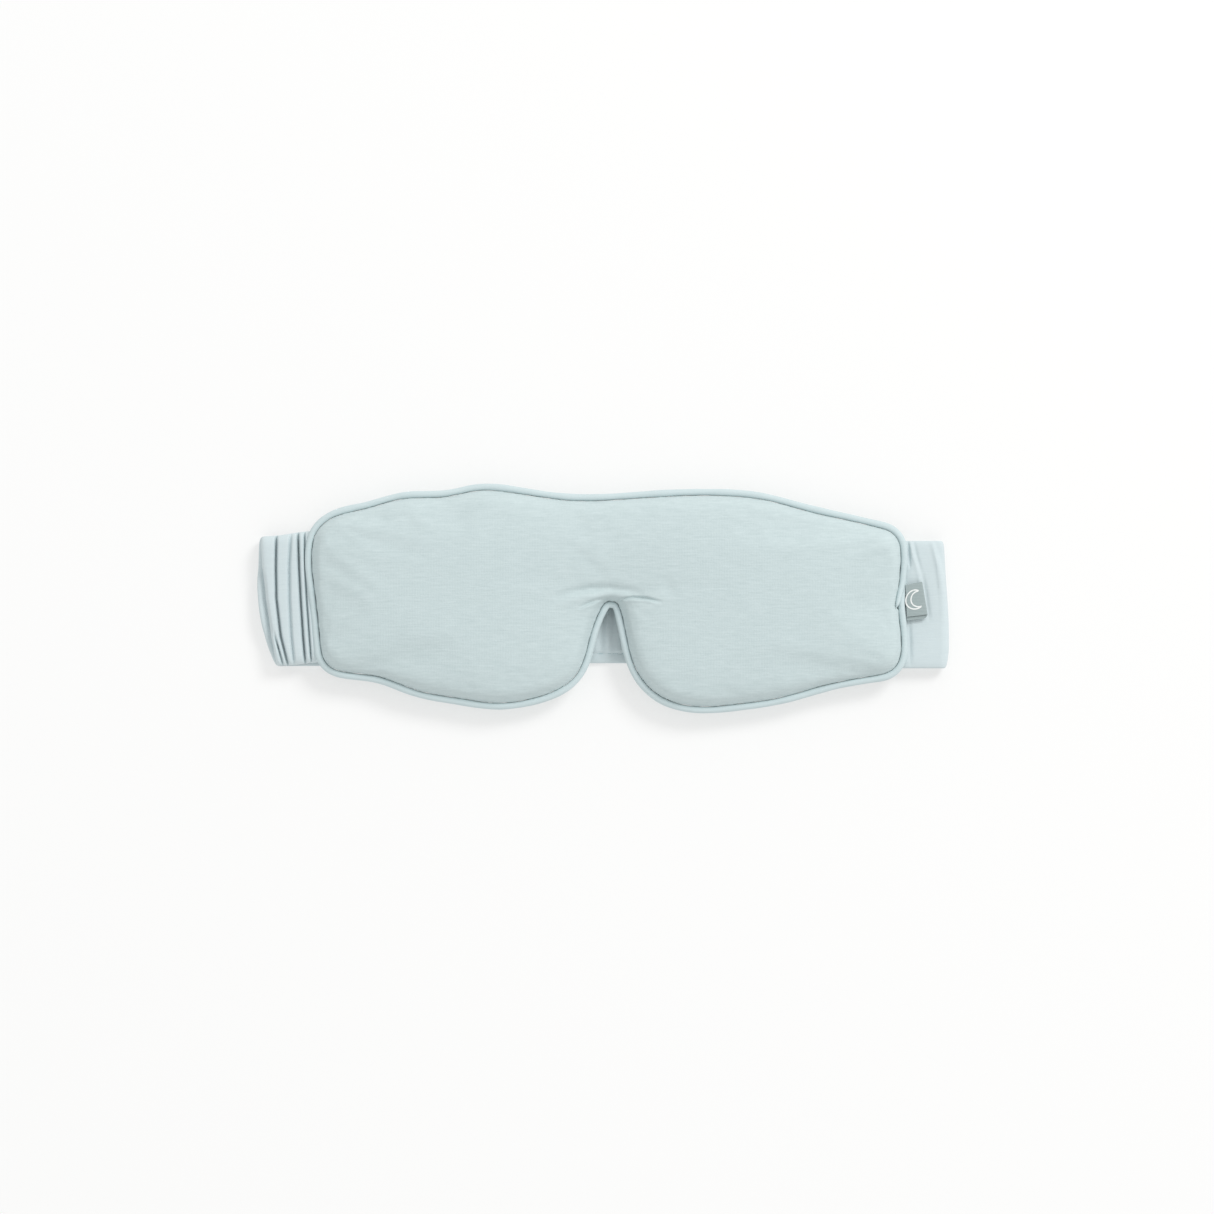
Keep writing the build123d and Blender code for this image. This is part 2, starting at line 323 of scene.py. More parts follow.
CREASES = (
    # line of x, y in mm; width; depth; height of the shoulder below it
    (((-19, 0.2), (-12, 2.4), (-5, 3.6), (2, 3.9), (9, 3.2), (15, 1.6)), 1.6, 1.35, 0.75),
    (((4.0, -1.6), (7, -0.2), (11, 0.4), (16, 0.1), (22, -1.4)), 0.55, 1.3, 0.35),
    (((-10.0, -3.8), (-6.0, -1.8), (-2.0, -0.4), (1.5, -0.2)), 0.65, 0.8, 0.3),
    (((23.0, 9.0), (24.3, 4.5), (24.6, 0.0)), 2.4, 0.35, 0.0),
)
BRIDGE_X, BRIDGE_Y, BRIDGE_ABOVE = (-24 * MM, 28 * MM), (-8 * MM, 9 * MM), SEAM_Z + 1.5 * MM
TAIL_LINE = ((111.2, 1.5), (110.6, -1.2), (110.0, -2.9))
pad.modifiers.new("finer", "SUBSURF").levels = 1
pad.modifiers["finer"].render_levels = 1
apply_all(pad)
bpy.ops.object.mode_set(mode="EDIT")
select_faces(pad, lambda centre, normal: BRIDGE_X[0] < centre.x < BRIDGE_X[1]
             and BRIDGE_Y[0] < centre.y < BRIDGE_Y[1] and centre.z > BRIDGE_ABOVE)
bpy.ops.mesh.subdivide(number_cuts=2, smoothness=0)
bpy.ops.object.mode_set(mode="OBJECT")
places = points_of(pad)
x, y, z = places.T
upper = np.clip((z - SEAM_Z) / (3 * MM), 0, 1)
for line, width, depth, shoulder_height in CREASES:
    places[:, 2] += upper * groove(x, y, line, width, depth, shoulder_height)

# Distance from the seam, and place along it, for every point of the pad.
BLOCK = 4000  # points taken at a time, to spare memory
nearest = np.empty(len(places), int)
for first in range(0, len(places), BLOCK):
    block = places[first:first + BLOCK, None, :2] - SEAM[None]
    nearest[first:first + BLOCK] = np.argmin(np.einsum("ijk,ijk->ij", block, block), axis=1)
to_seam = np.linalg.norm(places[:, :2] - SEAM[nearest], axis=1)
along = nearest / len(SEAM) * seam_length
GATHER = 7.5 * MM
wave = np.sin(2 * np.pi * along / GATHER + 1.7 * np.sin(2 * np.pi * along / (5.3 * GATHER)))
wave *= 0.6 + 0.4 * np.sin(2 * np.pi * along / (9.1 * GATHER) + 1.0)
# Close to the seam the cloth is drawn right up to it, so no gap opens beside the piping.
level = np.abs(z - SEAM_Z)
drawn = np.exp(-(np.maximum(0, level - 0.7 * MM) / (1.1 * MM)) ** 2) * (to_seam < 3 * MM)
places[:, :2] += outward(SEAM)[nearest] * ((to_seam - 0.06 * MM) * drawn)[:, None]
# The end of the piping, laid over the panel's edge, presses it down.
far, _, _ = distance_to_line(x, y, TAIL_LINE)
places[:, 2] -= 1.7 * MM * np.exp(-((far / (1.2 * MM)) ** 2)) * (z > SEAM_Z + 1.2 * MM)
places[:, 2] += 0.07 * MM * wave * np.exp(-((to_seam - 3.5 * MM) / (2.5 * MM)) ** 2) * np.sign(z - SEAM_Z)
places[:, 2] = np.maximum(places[:, 2], BACK_LOW[2] + 0.05 * MM)  # the back rests on the strap
move_points(pad, places)
print("pad", len(places), "points,", round(float(places[:, 2].max()) / MM, 1), "mm high")

# %% [markdown]
# The two panels are separate cloths, so the filled pad is cut at the seam into a front and a back. A flat
# cap, hidden in the seam, closes each half.

# %% Cutting the pad into its front and its back
def half_of(piece, name, level, keep_above):
    """A copy of the pad cut off at a level, closed with a flat cap."""
    pick(piece)
    bpy.ops.object.duplicate()
    half = name_new(name)
    bpy.ops.object.mode_set(mode="EDIT")
    bpy.ops.mesh.select_all(action="SELECT")
    bpy.ops.mesh.bisect(plane_co=(0, 0, level), plane_no=(0, 0, 1), use_fill=True,
                        clear_inner=keep_above, clear_outer=not keep_above)
    face_outward(half)
    smooth(half)
    return half


pad_front = half_of(pad, "pad_front", FRONT_LOW[2], True)
pad_back = half_of(pad, "pad_back", BACK_HIGH[2], False)
bpy.data.objects.remove(pad)
for half, slot_name, nodes in (
    (pad_front, "front_jersey", ("front_panel", "front_wadding", "seam_thread")),
    (pad_back, "back_jersey", ("back_panel", "back_wadding")),
):
    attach(half, "pad")
    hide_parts(*nodes)
print("front", len(pad_front.data.polygons), "faces; back", len(pad_back.data.polygons), "faces")

# %% [markdown]
# Piping is a cord wrapped in bias-cut jersey. It follows the whole seam as one strip, and its ends meet at
# the right end of the mask, where one runs into the seam beside the other. It could be a closed ring, but the
# crossing ends show, so it is an open line given a round section.

# %% The piping, one strip with crossing ends
JOIN = np.array([110.4, -1.6]) * MM
TAIL_END = np.array([109.9, -3.5, 11.0]) * MM
TAIL_LONG = 9 * MM
LEAD_POINTS = 9

join_at = np.argmin(np.linalg.norm(SEAM - JOIN, axis=1))
ordered = np.roll(shifted(SEAM, PIPE_RADIUS + 0.05 * MM), -join_at, axis=0)
if ordered[10, 1] > ordered[0, 1]:
    ordered = np.roll(ordered[::-1], 1, axis=0)
# ordered runs from the join down the right side, round the mask and back to the join from above.
reach = np.arange(len(ordered)) / len(ordered) * seam_length
level = SEAM_Z + 0.10 * MM * np.sin(2 * np.pi * reach / (31 * MM)) + 0.06 * MM * np.sin(reach / (3.1 * MM))
strip = np.column_stack([ordered, level])
tail_start = len(strip) - int(TAIL_LONG / seam_length * len(strip))
tail = strip[tail_start:].copy()
tail += np.linspace(0, 1, len(tail))[:, None] ** 1.6 * (TAIL_END - strip[-1])
# The other end is tucked under the tail, a little outward and down.
lead = strip[-LEAD_POINTS:].copy()
lead[:, 0] += 0.7 * MM * np.linspace(1, 0.2, LEAD_POINTS)
lead[:, 2] -= np.linspace(1.5, 0.2, LEAD_POINTS) * MM
strip = np.vstack([lead, strip[:tail_start], tail])
reach = np.arange(len(strip)) / len(ordered) * seam_length
bpy.ops.object.select_all(action="DESELECT")
line = bpy.data.curves.new("piping", "CURVE")
line.dimensions = "3D"
run = line.splines.new("POLY")
run.points.add(len(strip) - 1)
run.points.foreach_set("co", np.column_stack([strip, np.ones(len(strip))]).ravel())
thick = 1 + 0.035 * np.sin(reach / (4.7 * MM)) + 0.02 * np.sin(reach / (1.9 * MM))
from_start = np.arange(len(strip))
to_end = np.clip(np.minimum(from_start, from_start[::-1]) / 3, 0, 1)
thick *= 0.15 + 0.85 * np.sqrt(to_end * (2 - to_end))  # both ends rounded
thick[-len(tail):] *= np.linspace(1, 0.66, len(tail))  # and the tail drawn thinner
run.points.foreach_set("radius", thick)
line.bevel_depth = PIPE_RADIUS
line.bevel_resolution = 4
line.use_fill_caps = True
piping = bpy.data.objects.new("piping", line)
bpy.context.collection.objects.link(piping)
pick(piping)
bpy.ops.object.convert(target="MESH")
piping = name_new("piping")
face_outward(piping, merge=True)
smooth(piping)
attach(piping, "pad")
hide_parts("piping_cover", "piping_cord")
print("piping", len(piping.data.polygons), "faces along", round(seam_length / MM), "mm")

# %% [markdown]
# The strap is a jersey sleeve over wide elastic: a flat tube with a plain frill along each edge, beyond a row
# of stitching. A plain band would do from afar, but the turns at both ends are the liveliest part of this
# object. So one grid is rolled into the tube's section and carried along a path: flat under the pad, half way
# round each turn, and back to the end seam, with folds and gathers added to the section as it goes. It is cut
# where it bends on the model's joints, always at a turn or out of sight under the pad.

# %% The strap's section and its path
STRAP_LOW, STRAP_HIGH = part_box("back_run_sleeve")
STRAP_Y = (STRAP_LOW[1] + STRAP_HIGH[1]) / 2
STRAP_HALF = (STRAP_HIGH[1] - STRAP_LOW[1]) / 2
STRAP_THICK = STRAP_HIGH[2] - STRAP_LOW[2]
STITCH_AT = sum(corner[1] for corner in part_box("back_run_upper_stitching")) / 2 - STRAP_Y
LEFT_FOLD_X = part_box("left_fold_sleeve")[1][0]
RIGHT_FOLD_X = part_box("right_fold_sleeve")[0][0]
RIGHT_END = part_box("right_turn_sleeve")[0][0]
FOLD_Z = sum(corner[2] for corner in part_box("left_fold_sleeve")) / 2
FOLD_R = FOLD_Z - STRAP_THICK / 2
LEFT_SIDE = SEAM[SEAM[:, 0] < -90 * MM]


def to_edge(share):
    """1 over most of the strap's width, rounding off to 0 at its edges, where share is 1."""
    return np.sqrt(np.maximum(0, 1 - share ** 14))


def half_thickness(y, hem=1.0):
    """Half the strap's thickness, y from its middle: full over the elastic, thin in the frill, nipped at the
    stitching. Where hem is 0 the sleeve lies smooth over all that."""
    past_elastic = 1 / (1 + np.exp((STITCH_AT - 0.5 * MM - np.abs(y)) / (0.35 * MM)))
    nip = np.exp(-(((np.abs(y) - STITCH_AT) / (0.48 * MM)) ** 2))
    return (1.18 * MM - hem * (0.42 * MM * past_elastic + 0.40 * MM * nip)) * to_edge(np.abs(y) / STRAP_HALF)


def grid(name, u_count, v_count):
    """A flat grid to bend into shape, and the place of each point on it, u and v from 0 to 1."""
    bpy.ops.mesh.primitive_grid_add(x_subdivisions=u_count, y_subdivisions=v_count, size=2)
    sheet = name_new(name)
    raw = points_of(sheet)
    return sheet, (raw[:, 0] + 1) / 2, (raw[:, 1] + 1) / 2


def round_section(v):
    """Where v, 0 to 1 once round, lies across the strap (-1 to 1), with 1 on its outer face and -1 inside."""
    outer = v < 0.5
    across = np.where(outer, 4 * v - 1, 3 - 4 * v)
    across = np.sign(across) * (1 - (1 - np.abs(across)) ** 1.35)
    return across, np.where(outer, 1.0, -1.0)


def close_tube(tube):
    """Joins the tube's long edges, closes both ends, and turns its faces outward."""
    face_outward(tube, merge=True)
    bpy.ops.object.mode_set(mode="EDIT")
    bpy.ops.mesh.select_all(action="DESELECT")
    bpy.ops.mesh.select_mode(type="EDGE")
    bpy.ops.mesh.select_non_manifold()
    bpy.ops.mesh.fill_holes(sides=0)
    face_outward(tube)
    smooth(tube, 50)


def left_seam_x(y):
    """The x of the pad's left end seam at height y."""
    order = np.argsort(LEFT_SIDE[:, 1])
    return np.interp(y, LEFT_SIDE[order, 1], LEFT_SIDE[order, 0])


print("strap width and thickness, and x of its turns:",
      millimetres((2 * STRAP_HALF, STRAP_THICK, LEFT_FOLD_X, RIGHT_FOLD_X)))

# %% [markdown]
# The left turn is scrunched: the sleeve is longer than the elastic in it, and the spare cloth stands in soft
# rolls with deep, dark slits between them, which fan out downwards. The right turn is smooth but for a few
# slanting wrinkles, which are grooves like those on the pad. The gathers under the pad are uneven waves.

# %% Folds of the left turn, wrinkles of the right turn, gathers of the run
SLIT_Y = np.array([-26.0, -14.0, 0.0, 12.0, 25.0]) * MM
ALL_HEIGHTS = 40.0
SLITS = (  # x in mm at each of those heights; how deep; how broad; and the height below which the slit shows
    ((-122.6, -125.2, -127.3, -128.3, -128.7), 1.0, 0.62, ALL_HEIGHTS),
    ((-120.4, -123.7, -126.4, -127.4, -128.2), 0.7, 0.36, -11.0),
    ((-118.6, -121.6, -123.2, -123.4, -123.2), 1.0, 0.45, ALL_HEIGHTS),
    ((-116.4, -117.6, -118.3, -118.4, -117.8), 0.45, 0.55, ALL_HEIGHTS),
    ((-112.2, -113.2, -114.1, -114.7, -115.1), 1.0, 0.45, ALL_HEIGHTS),
    ((-109.9, -110.8, -111.8, -112.3, -112.6), 0.7, 0.36, ALL_HEIGHTS),
)
ROLL_TALL = 2.3 * MM
LIP_WIDE, LIP_DEEP = 2.3 * MM, 0.506 * MM
SLIT_DEEP = 3.1 * MM
ROLLS_START, ROLLS_FULL = -130.6 * MM, -128.0 * MM
LEAN_MOST, LEAN_FROM_Y, LEAN_OVER = 6.0 * MM, 10 * MM, 35.3 * MM


def smooth_step(low, high, value):
    """0 up to low, 1 from high on, with an even ease between."""
    t = np.clip((value - low) / (high - low), 0, 1)
    return t * t * (3 - 2 * t)


def rolls(x, y):
    """Height that the scrunched sleeve stands above the flat one."""
    height = np.full(x.shape, ROLL_TALL)
    for line, depth, broad, below in SLITS:
        gap = np.abs(x - np.interp(y, SLIT_Y, np.array(line) * MM))
        deep = depth * smooth_step(0, 8 * MM, below * MM - y)
        lip = 1 - np.clip(gap / LIP_WIDE, 0, 1)
        height -= deep * (LIP_DEEP * lip ** 2.4 + SLIT_DEEP * np.exp(-((gap / (broad * MM)) ** 2)))
    return height * smooth_step(ROLLS_START, ROLLS_FULL, x - lean_in(y))


WRINKLES = (  # like CREASES
    (((114.3, 24.5), (114.8, 17.0), (115.2, 11.0)), 0.5, 0.9, 0.15),
    (((116.0, 24.5), (117.6, 16.5), (119.6, 9.5)), 0.7, 0.45, 0.3),
    (((123.9, 26.0), (127.2, 12.5), (129.0, 1.0), (129.3, -10.0)), 0.8, 0.5, 0.6),
    (((119.6, 11.0), (121.2, 2.0), (122.7, -9.0)), 0.8, 0.4, 0.45),
    (((114.9, -8.0), (115.2, -16.0), (115.4, -26.0)), 0.8, 0.5, 0.15),
)
DIPS = (  # where the strap shows in the notch, it sinks between two gathers and towards the notch's point
    (((-1.4, -4.0), (-2.5, -12.0), (-2.3, -20.3)), 0.65, 0.9, 0.25),
    (((5.2, -4.0), (6.1, -12.0), (5.9, -20.3)), 0.75, 0.9, 0.2),
    (((2.2, 4.0), (2.3, -3.0), (2.0, -12.0)), 2.6, 1.2, 0.0),
)


def grooves(x, y, lines):
    """The height that several grooves add up to."""
    return sum(groove(x, y, *line) for line in lines)


def gathers(s, y):
    """Waves of the gathered sleeve, s along the strap, strongest over the elastic."""
    drift = 0.25 * np.sin(y / (5.1 * MM) + s / (9 * MM))
    wave = np.sin(s / (0.86 * MM) + 1.6 * np.sin(s / (4.3 * MM)) + drift)
    wave += 0.6 * np.sin(s / (1.37 * MM) + 2.1 * np.sin(s / (7.7 * MM)) + y / (19 * MM))
    inside = 1 / (1 + np.exp((np.abs(y) - STITCH_AT + 1.6 * MM) / (0.6 * MM)))
    return wave * MM * (0.05 + 0.20 * inside)


def lean_in(y):
    """How far the left turn is pulled in towards the pad, more and more below its upper half."""
    return LEAN_MOST * np.clip((LEAN_FROM_Y - y) / LEAN_OVER, 0, 1.1) ** 2


# %% [markdown]
# Each piece of the strap is the same rolled grid with its own path. A path gives, for each place along the
# piece, the middle of the strap and the way its outer face points: down on the lower run, sideways in the
# middle of a turn, and up on the way back to the seam.

# %% The six pieces of the strap
RESTING = 0.03 * MM


def thin_at_turn(x):
    """How much of the inner half of the thickness is gone: the elastic is squeezed thin where it turns."""
    past_left = smooth_step(LEFT_FOLD_X + 6 * MM, LEFT_FOLD_X + 14 * MM, x)
    return 1 - past_left * (1 - smooth_step(RIGHT_FOLD_X - 8 * MM, RIGHT_FOLD_X - 2 * MM, x))


def strap_piece(name, along_count, round_count, path, height, end_share=0.0):
    """A piece of strap. path gives its middle, width and the outer face's direction; height is added outward.
    end_share is how much of its length rolls off to nothing at the seam."""
    tube, u, v = grid(name, along_count, round_count)
    across, face = round_section(v)
    y_middle, y_half, x, z, face_x, face_z = path(u, across)
    y = y_middle + across * y_half
    thick = half_thickness(across * STRAP_HALF, hem_shown(x))
    thick = np.where(face < 0, thick * (1 - 1.08 * thin_at_turn(x)), thick)
    thick += height(x, y, u, face) * to_edge(np.abs(across))
    if end_share:
        thick *= np.sqrt(np.clip(1 - np.clip((u - 1 + end_share) / end_share, 0, 1) ** 2, 0.05 ** 2, 1))
    z = np.maximum(z + face * thick * face_z, RESTING)
    move_points(tube, np.column_stack([x + face * thick * face_x, y, z]))
    close_tube(tube)
    return tube


def hem_shown(x):
    """How clearly hem and gathers show: not at all at the turns, where the sleeve is drawn smooth."""
    return smooth_step(-112 * MM, -98 * MM, x) * (1 - smooth_step(98 * MM, 108 * MM, x))


def run_half(x):
    """Half the strap's width: the elastic draws it in a little in the middle of the run."""
    return STRAP_HALF - 1.1 * MM * np.exp(-((x / (60 * MM)) ** 2))


def run_middle(x):
    """The middle of the strap's width: it drifts a little down towards the right turn."""
    return STRAP_Y - 0.8 * MM * smooth_step(60 * MM, 112 * MM, x)


def lean_right(y):
    """How far the right turn is drawn in towards its top, and at its bottom corner."""
    return -1.7 * MM * smooth_step(-14 * MM, 22 * MM, y) - 0.6 * MM * smooth_step(18 * MM, 27 * MM, -y)


def run_path(x_start, x_end):
    """The lower run, its outer face down."""
    def path(u, across):
        x = x_start + u * (x_end - x_start)
        z = np.full(x.shape, STRAP_THICK / 2)
        half = run_half(x)
        y = run_middle(x) + across * half
        lean = lean_in(y) * (1 - smooth_step(LEFT_FOLD_X, -100 * MM, x))
        lean += lean_right(y) * smooth_step(104 * MM, RIGHT_FOLD_X, x)
        zero = np.zeros(x.shape)
        return run_middle(x), half, x + lean, z, zero, zero - 1
    return path


def fold_path(x_middle, direction, y_low, y_top, half_top):
    """Half a turn from the lower run up to the way back, leaning as the run does."""
    def path(u, across):
        turn = np.pi * u
        out_x = direction * np.sin(turn)
        out_z = -np.cos(turn)
        y_middle = y_low + (y_top - y_low) * smooth_step(0, 1, u)
        y_half = STRAP_HALF + (half_top - STRAP_HALF) * smooth_step(0, 1, u)
        y = y_middle + across * y_half
        x = x_middle + FOLD_R * out_x + (lean_in(y) if direction < 0 else lean_right(y))
        z = FOLD_Z + FOLD_R * out_z
        return y_middle, y_half, x, z, out_x, out_z
    return path


LEFT_TOP_Y, LEFT_TOP_HALF = -0.9 * MM, 24.4 * MM
LEFT_SEAM_Y, LEFT_SEAM_HALF = 0.7 * MM, 24.7 * MM
RIGHT_TOP_Y, RIGHT_TOP_HALF = -2.3 * MM, 24.0 * MM
TURN_Z = FOLD_Z + FOLD_R


def left_turn_path(u, across):
    """From the turn to the left end seam, which leans, so each line across ends where the seam is."""
    ease = smooth_step(0, 1, u)
    y_middle = LEFT_TOP_Y + (LEFT_SEAM_Y - LEFT_TOP_Y) * ease
    y_half = LEFT_TOP_HALF + (LEFT_SEAM_HALF - LEFT_TOP_HALF) * ease
    y = y_middle + across * y_half
    x_start = LEFT_FOLD_X + lean_in(y)
    x_end = left_seam_x(np.clip(y, -23 * MM, 23 * MM)) - 0.5 * MM
    x = x_start + u * (x_end - x_start)
    zero = np.zeros(x.shape)
    return y_middle, y_half, x, zero + TURN_Z, zero, zero + 1


def right_turn_path(u, across):
    """From the turn to the right end, rolled under where it meets the seam."""
    y = RIGHT_TOP_Y + across * RIGHT_TOP_HALF
    x = RIGHT_FOLD_X + lean_right(y) * (1 - u) + u * (RIGHT_END - RIGHT_FOLD_X)
    zero = np.zeros(x.shape)
    return RIGHT_TOP_Y, RIGHT_TOP_HALF, x, zero + TURN_Z, zero, zero + 1


def left_turn_height(x, y, u, face):
    under_piping = 1 - smooth_step(-2.9 * MM, -1.2 * MM, x - left_seam_x(y))
    return np.where(face > 0, rolls(x, y) * under_piping, 0)


def left_fold_height(x, y, u, face):
    return np.where(face > 0, rolls(x, y) * smooth_step(0.45, 0.75, u), 0)


def right_turn_height(x, y, u, face):
    return np.where(face > 0, grooves(x, y, WRINKLES), 0)


def right_fold_height(x, y, u, face):
    return np.where(face > 0, grooves(x, y, WRINKLES) * smooth_step(0.6, 0.9, u), 0)


def run_height(x, y, u, face):
    wave = gathers(x, y - STRAP_Y)
    return hem_shown(x) * np.where(face < 0, wave, 0.9 * wave - 0.1 * MM + grooves(x, y, DIPS))


SPLIT_X = -30 * MM
bpy.ops.object.select_all(action="DESELECT")
strap_left_run = strap_piece("strap_left_run", 190, 200, run_path(LEFT_FOLD_X, SPLIT_X), run_height)
strap_right_run = strap_piece("strap_right_run", 300, 200, run_path(SPLIT_X, RIGHT_FOLD_X), run_height)
left_half_turn = fold_path(LEFT_FOLD_X, -1, STRAP_Y, LEFT_TOP_Y, LEFT_TOP_HALF)
right_half_turn = fold_path(RIGHT_FOLD_X, 1, RIGHT_TOP_Y, RIGHT_TOP_Y, RIGHT_TOP_HALF)
strap_left_fold = strap_piece("strap_left_fold", 28, 160, left_half_turn, left_fold_height)
strap_right_fold = strap_piece("strap_right_fold", 28, 160, right_half_turn, right_fold_height)
strap_left_turn = strap_piece("strap_left_turn", 110, 160, left_turn_path, left_turn_height, 0.07)
strap_right_turn = strap_piece("strap_right_turn", 80, 160, right_turn_path, right_turn_height, 0.09)
STRAP = (strap_left_run, strap_right_run, strap_left_fold, strap_right_fold,
         strap_left_turn, strap_right_turn)
for tube in STRAP:
    caps = sum(len(face.vertices) > 4 for face in tube.data.polygons)
    print(tube.name, len(tube.data.polygons), "faces,", caps, "end caps,", millimetres(tube.dimensions))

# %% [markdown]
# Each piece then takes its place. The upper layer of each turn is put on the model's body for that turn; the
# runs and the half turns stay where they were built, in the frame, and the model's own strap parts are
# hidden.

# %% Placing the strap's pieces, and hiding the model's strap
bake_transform(strap_left_run)
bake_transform(strap_right_run)
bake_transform(strap_left_fold)
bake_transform(strap_right_fold)
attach(strap_left_turn, "left_turn")
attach(strap_right_turn, "right_turn")
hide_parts("left_run_sleeve", "left_run_elastic")
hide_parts("back_run_sleeve", "back_run_elastic", "right_run_sleeve", "right_run_elastic")
for tube, place in ((strap_left_fold, "left_fold"), (strap_right_fold, "right_fold"),
                    (strap_left_turn, "left_turn"), (strap_right_turn, "right_turn")):
    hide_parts(place + "_sleeve", place + "_elastic")

# %% [markdown]
# A row of lockstitch runs near each edge of the strap and holds the elastic in its channel. One stitch is a
# short thread that dips into the cloth at both ends. It is modelled once from a thin rod, repeated along the
# row by an Array modifier, and the row is copied to the strap's other edge and face.

# %% Stitching along the strap
STITCH_PITCH = 3.0 * MM
STITCH_LONG = 2.3 * MM
THREAD_RADIUS = 0.15 * MM
STITCH_SHARE = STITCH_AT / STRAP_HALF
HEM_END = 104 * MM


def stitch_row(name, x_start, x_end, side, face):
    """A row of stitches on the upper (side 1) or lower (-1) edge, on the top (face 1) or under (-1) face."""
    bpy.ops.object.select_all(action="DESELECT")
    bpy.ops.mesh.primitive_cylinder_add(vertices=6, radius=THREAD_RADIUS, depth=STITCH_LONG,
                                        end_fill_type="TRIFAN", rotation=(0, math.pi / 2, 0))
    row = name_new(name)
    bpy.ops.object.transform_apply(location=False, rotation=True, scale=False)
    bpy.ops.object.mode_set(mode="EDIT")
    for cut in (-0.3, 0.3):
        bpy.ops.mesh.select_all(action="SELECT")
        bpy.ops.mesh.bisect(plane_co=(cut * STITCH_LONG, 0, 0), plane_no=(1, 0, 0))
    bpy.ops.object.mode_set(mode="OBJECT")
    array = row.modifiers.new("row", "ARRAY")
    array.use_relative_offset = False
    array.use_constant_offset = True
    array.constant_offset_displace = (STITCH_PITCH, 0, 0)
    array.count = int((x_end - x_start) / STITCH_PITCH)
    apply_all(row)
    places = points_of(row)
    in_stitch = np.abs((places[:, 0] + STITCH_PITCH / 2) % STITCH_PITCH - STITCH_PITCH / 2) / STITCH_LONG
    x = places[:, 0] + x_start + STITCH_PITCH / 2
    y = run_middle(x) + side * STITCH_SHARE * run_half(x)
    surface = half_thickness(np.full(x.shape, STITCH_AT))
    dip = 0.55 * THREAD_RADIUS * smooth_step(0.25, 0.5, in_stitch)
    lean = lean_in(y) * (1 - smooth_step(LEFT_FOLD_X, -100 * MM, x))
    z = STRAP_THICK / 2 + face * (surface + places[:, 2] - dip)
    move_points(row, np.column_stack([x + lean, y + places[:, 1], z]))
    face_outward(row)
    smooth(row)
    return row


def joined(rows, name):
    """Several rows as one piece."""
    pick(rows[0])
    for row in rows[1:]:
        row.select_set(True)
    bpy.ops.object.join()
    return name_new(name)


ROWS = [(side, face) for side in (-1, 1) for face in (-1, 1)]
left_stitches = joined([stitch_row("row", -HEM_END, SPLIT_X, *row) for row in ROWS], "strap_left_stitching")
right_stitches = joined([stitch_row("row", SPLIT_X, HEM_END, *row) for row in ROWS], "strap_right_stitching")
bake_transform(left_stitches)
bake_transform(right_stitches)
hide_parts("left_run_lower_stitching", "left_run_upper_stitching")
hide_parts("back_run_lower_stitching", "back_run_upper_stitching",
            "right_run_lower_stitching", "right_run_upper_stitching")
for row in (left_stitches, right_stitches):
    print(row.name, len(row.data.polygons), "faces; row at share", round(STITCH_SHARE, 3))

# %% [markdown]
# The label is a woven ribbon folded in half, its two ends caught in the seam and its fold free. Folded a
# little askew, its lower half peeks out below the upper. A strip is laid along that path and given the
# ribbon's thickness with Solidify. The figure woven on it is a plain crescent moon.

# %% The folded label
LABEL_LOW, LABEL_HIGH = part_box("label_tab")
RIBBON = 0.32 * MM
# The corners of each layer, in mm: root top, root bottom, free top, free bottom.
UPPER = ((113.5, 5.1), (113.9, -6.9), (119.5, 6.3), (121.5, -6.0))
LOWER = ((113.6, 3.8), (114.0, -8.3), (118.9, 4.9), (120.6, -7.5))
LABEL_Z = (LABEL_LOW[2] + LABEL_HIGH[2]) / 2
LAYER_GAP = 0.30 * MM


def give_thickness(sheet, thickness):
    """Thickens a sheet evenly both ways and closes it."""
    solid = sheet.modifiers.new("thickness", "SOLIDIFY")
    solid.thickness = thickness
    solid.offset = 0
    apply_all(sheet)
    face_outward(sheet)
    smooth(sheet, 45)


def on_layer(corners, s, t):
    """A place on a label layer: s from root to free end, t from top edge to bottom edge."""
    c = np.array(corners) * MM
    s, t = s[:, None], t[:, None]
    return (1 - s) * ((1 - t) * c[0] + t * c[1]) + s * ((1 - t) * c[2] + t * c[3])


def label_sag(s, t):
    """How the label curls: the free end dips, and its lower corner lifts."""
    return -0.35 * MM * s ** 2 + 0.30 * MM * s * t ** 3


bpy.ops.object.select_all(action="DESELECT")
label, u, t = grid("woven_label", 44, 26)
FOLD_SHARE = 0.06  # the share of the ribbon's length, each way from its middle, that goes round the fold
bend = np.clip((FOLD_SHARE - np.abs(u - 0.5)) / FOLD_SHARE, 0, 1)
s = np.clip(1 - np.maximum(np.abs(u - 0.5) - FOLD_SHARE, 0) / (0.5 - FOLD_SHARE), 0, 1)
turn = np.where(u < 0.5, 0.5 * bend, 1 - 0.5 * bend)
mix = ((1 - np.cos(np.pi * turn)) / 2)[:, None]
flat = on_layer(UPPER, s, t) * (1 - mix) + on_layer(LOWER, s, t) * mix
flat[:, 0] += LAYER_GAP * np.sin(np.pi * turn)
z = LABEL_Z + LAYER_GAP * np.cos(np.pi * turn) + label_sag(s, t)
move_points(label, np.column_stack([flat, z]))
give_thickness(label, RIBBON)
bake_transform(label)
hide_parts("label_tab")
print("label", len(label.data.polygons), "faces,", millimetres(label.dimensions), "mm")

# %% The crescent woven on the label
MOON_S, MOON_T = 0.48, 0.50
MOON_R = 3.5 * MM
MOON_LINE = 0.5 * MM


